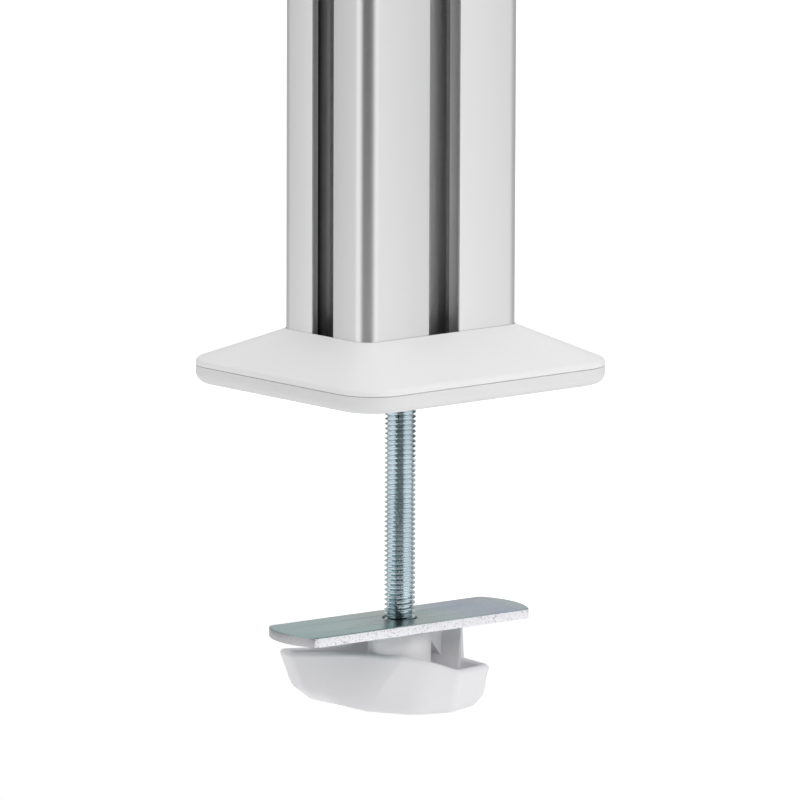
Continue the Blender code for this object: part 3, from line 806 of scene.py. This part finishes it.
def knob_rings():
    rim = [corner[0] for corner in KNOB_CORNERS]
    foot = [corner[1] for corner in KNOB_CORNERS]
    reaches = [corner[2] for corner in KNOB_CORNERS]
    belly, bilge = (
        [bulge.get(i, lerp(foot[i], rim[i], share)) for i in range(len(KNOB_CORNERS))]
        for bulge, share in ((KNOB_BELLY, KNOB_BELLY_SHARE), (KNOB_BILGE, KNOB_BILGE_SHARE))
    )
    stations = [inset_corners(foot, 0.9), inset_corners(foot, 0.5, 0.08), inset_corners(foot, 0.2, 0.35)]
    stations += between(bilge, belly, foot, rim)
    stations.append(inset_corners(rim, 0.0, -1.2))
    for i in range(9):
        angle = math.pi * i / 8
        half = KNOB_WALL / 2
        stations.append(inset_corners(rim, half * (1 - math.cos(angle)), -half * (1 - math.sin(angle))))
    stations += [inset_corners(belly, KNOB_WALL), inset_corners(foot, KNOB_WALL + 0.6, KNOB_FLOOR)]
    return [soften(station, reaches) for station in stations]


def make_knob():
    knob = loft("knob", knob_rings(), smooth=40)
    post = (
        (BOSS_FOOT_RADIUS, KNOB_LOW + 1),
        (BOSS_FOOT_RADIUS, BOSS_FOOT_HIGH),
        (BOSS_RADIUS, BOSS_FOOT_HIGH + 1),
        (BOSS_RADIUS, KNOB_HIGH - 0.3),
        (BOSS_RADIUS - 0.1, KNOB_HIGH - 0.1),
        (BOSS_RADIUS - 0.3, KNOB_HIGH),
    )
    gusset = prism("gusset", [GUSSET_OUTLINE], -GUSSET_THICKNESS / 2, GUSSET_THICKNESS / 2)
    upright = Matrix.Rotation(math.radians(90), 4, "X")
    yaw = Matrix.Rotation(math.radians(GUSSET_YAW), 4, "Z")
    gusset.data.transform(Matrix.Translation(metres(*GUSSET_START, 0.0)) @ yaw @ upright)
    seat = KNOB_HIGH + GAP - THRUST_HEIGHT - 2 * GAP
    pocket_high = KNOB_NUT_LOW + KNOB_NUT_HEIGHT + GAP
    boolean(knob, revolve("boss", post), "UNION")
    boolean(knob, gusset, "UNION")
    boolean(knob, revolve("seat", [(THRUST_RADIUS + GAP, seat), (THRUST_RADIUS + GAP, KNOB_HIGH + 1)]))
    boolean(knob, revolve("bore", [(KNOB_BORE, KNOB_LOW - 1), (KNOB_BORE, KNOB_HIGH + 1)]))
    boolean(knob, prism("pocket", [hexagon(NUT_FLATS + 2 * GAP)], KNOB_LOW - 1, pocket_high))
    shade(knob.data, 28)
    knob.data.transform(Matrix.Rotation(math.radians(KNOB_YAW), 4, "Z"))
    paint(knob, textured_plastic("knob_plastic", (0.845, 0.835, 0.855), 0.42, 2400.0, 0.08))
    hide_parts("wing_knob")
    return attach(knob, "knob")


def finish_cad_nodes():
    """Real materials on the pieces that keep their CAD shape."""
    bright = ((0.3, (0.60, 0.62, 0.64)), (0.7, (0.74, 0.76, 0.78)))
    steel = zinc("bright_steel", bright, 0.28, (1.0, 1.0, 1.0), 300.0)
    looks = {
        "column_top_cap": textured_plastic("cap_plastic", (0.88, 0.88, 0.88), 0.46),
        "desk_pad": rubber("pad_rubber"),
        "rod_lock_washer": steel,
        "rod_lock_nut": steel,
        "thrust_washer": steel,
        "knob_insert_nut": steel,
    }
    for number in range(1, 5):
        looks[f"column_screw_{number}"] = steel
    for name, material in looks.items():
        paint(NODES[name], material)


# Stage.


def stage_object(obj):
    return obj


def only_in_reflections(obj):
    obj.visible_camera = obj.visible_diffuse = obj.visible_shadow = False
    return stage_object(obj)


def make_floor():
    bm = bmesh.new()
    bmesh.ops.create_grid(bm, x_segments=1, y_segments=1, size=FLOOR_SIZE / 2)
    floor = object_from_bmesh("floor", bm)
    floor.location.z = FLOOR_Z
    made, shader = matt("floor_white", 0.9)
    shader.inputs["Emission Color"].default_value = (1.0, 1.0, 1.0, 1.0)
    shader.inputs["Emission Strength"].default_value = FLOOR_GLOW
    paint(floor, made)
    return stage_object(floor)


def make_tent():
    """A ring of soft light round the object, unseen by the camera itself and dark on its side."""
    bm = bmesh.new()
    bmesh.ops.create_cone(
        bm,
        cap_ends=False,
        segments=TENT_SEGMENTS,
        radius1=TENT_RADIUS,
        radius2=TENT_RADIUS,
        depth=TENT_HIGH - TENT_LOW,
    )
    tent = object_from_bmesh("light_tent", bm)
    tent.location.z = (TENT_HIGH + TENT_LOW) / 2
    tent.rotation_euler.z = -CAMERA_AZIMUTH
    made = bpy.data.materials.new("tent_light")
    made.use_nodes = True
    tree = made.node_tree
    tree.nodes.clear()
    place = add(tree, "ShaderNodeTexCoord").outputs["Object"]
    parts = add(tree, "ShaderNodeSeparateXYZ", {"Vector": place}).outputs
    away = add(tree, "ShaderNodeMath", {0: parts["Y"], 1: -1.0}, operation="MULTIPLY").outputs[0]
    angle = add(tree, "ShaderNodeMath", {0: parts["X"], 1: away}, operation="ARCTAN2").outputs[0]
    inputs = {"Value": angle, "From Min": -math.pi, "From Max": math.pi, "To Min": 0.0, "To Max": 1.0}
    share = add(tree, "ShaderNodeMapRange", inputs).outputs["Result"]
    stops = [((degrees + 180) / 360, grey(value)) for degrees, value in TENT_STOPS]
    light = add(tree, "ShaderNodeEmission", {"Color": ramp(tree, share, stops)})
    output = add(tree, "ShaderNodeOutputMaterial")
    tree.links.new(light.outputs["Emission"], output.inputs["Surface"])
    paint(tent, made)
    tent.visible_camera = False
    tent.visible_shadow = False
    return stage_object(tent)


def towards(azimuth, elevation):
    """The direction at this angle to the right of the camera's side and this angle up."""
    around = CAMERA_AZIMUTH - azimuth
    flat = math.cos(elevation)
    return Vector((-math.sin(around) * flat, -math.cos(around) * flat, math.sin(elevation)))


def make_light(name, azimuth, elevation, size, power):
    """A soft box, which lights matt surfaces but is not seen in reflections."""
    data = bpy.data.lights.new(name, "AREA")
    data.shape = "DISK"
    data.size = size
    data.energy = power
    light = bpy.data.objects.new(name, data)
    bpy.context.scene.collection.objects.link(light)
    ray = towards(azimuth, elevation)
    light.location = ray * LIGHT_DISTANCE
    light.rotation_euler = ray.to_track_quat("Z", "Y").to_euler()
    light.visible_glossy = False
    return stage_object(light)


def make_flag():
    """Keeps the thread's upper flanks from glaring."""
    flag = prism("flag", [circle(0, 0, FLAG_RADIUS / MM)], -1.0, 0.0)
    paint(flag, matt("flag_black", FLAG_TONE)[0])
    ray = towards(FLAG_AZIMUTH, FLAG_ELEVATION)
    flag.location = ray * FLAG_DISTANCE
    flag.rotation_euler = ray.to_track_quat("Z", "Y").to_euler()
    return only_in_reflections(flag)


def make_cards():
    """Darken what the thread's lower flanks reflect."""
    for i, (corners, tone) in enumerate(CARDS, 1):
        outline = rectangle(*(value / MM for value in corners))
        card = prism(f"floor_card_{i}", [outline], CARD_Z / MM - 1, CARD_Z / MM)
        card.rotation_euler.z = -CAMERA_AZIMUTH
        paint(card, matt(f"card_{i}", tone)[0])
        only_in_reflections(card)


def make_world():
    world = bpy.data.worlds.new("studio")
    bpy.context.scene.world = world
    world.use_nodes = True
    background = world.node_tree.nodes["Background"]
    background.inputs["Color"].default_value = (1.0, 1.0, 1.0, 1.0)
    background.inputs["Strength"].default_value = WORLD_STRENGTH


def make_camera():
    a, e, t = CAMERA_AZIMUTH, CAMERA_ELEVATION, CAMERA_TILT
    flat = math.cos(e)
    place = Vector((-math.sin(a) * flat, -math.cos(a) * flat, math.sin(e))) * CAMERA_DISTANCE
    right = Vector((math.cos(a), -math.sin(a), 0.0))
    ahead = Vector((math.sin(a) * math.cos(t), math.cos(a) * math.cos(t), -math.sin(t)))
    up = right.cross(ahead)
    cos, sin = math.cos(CAMERA_ROLL), math.sin(CAMERA_ROLL)
    axis_x, axis_y = right * cos + up * sin, up * cos - right * sin
    data = bpy.data.cameras.new("camera")
    data.sensor_width = 36.0
    data.lens = CAMERA_LENS
    data.shift_x, data.shift_y = CAMERA_SHIFT
    data.clip_end = 100.0
    camera = bpy.data.objects.new("camera", data)
    bpy.context.scene.collection.objects.link(camera)
    turn = Matrix((axis_x, axis_y, -ahead)).transposed().to_4x4()
    camera.matrix_world = Matrix.Translation(place + Vector((0, 0, CAMERA_TARGET_Z))) @ turn
    bpy.context.scene.camera = camera


def make_view():
    view = bpy.context.scene.view_settings
    view.view_transform = "Standard"
    view.look = "None"


make_camera()
make_view()
make_world()
make_floor()
make_tent()
make_light("key_light", KEY_AZIMUTH, KEY_ELEVATION, KEY_SIZE, KEY_POWER)
make_light("fill_light", FILL_AZIMUTH, FILL_ELEVATION, FILL_SIZE, FILL_POWER)
make_cards()
make_flag()
make_column()
make_base_plate()
make_cover()
make_rod()
make_clamp_plate()
make_knob()
finish_cad_nodes()
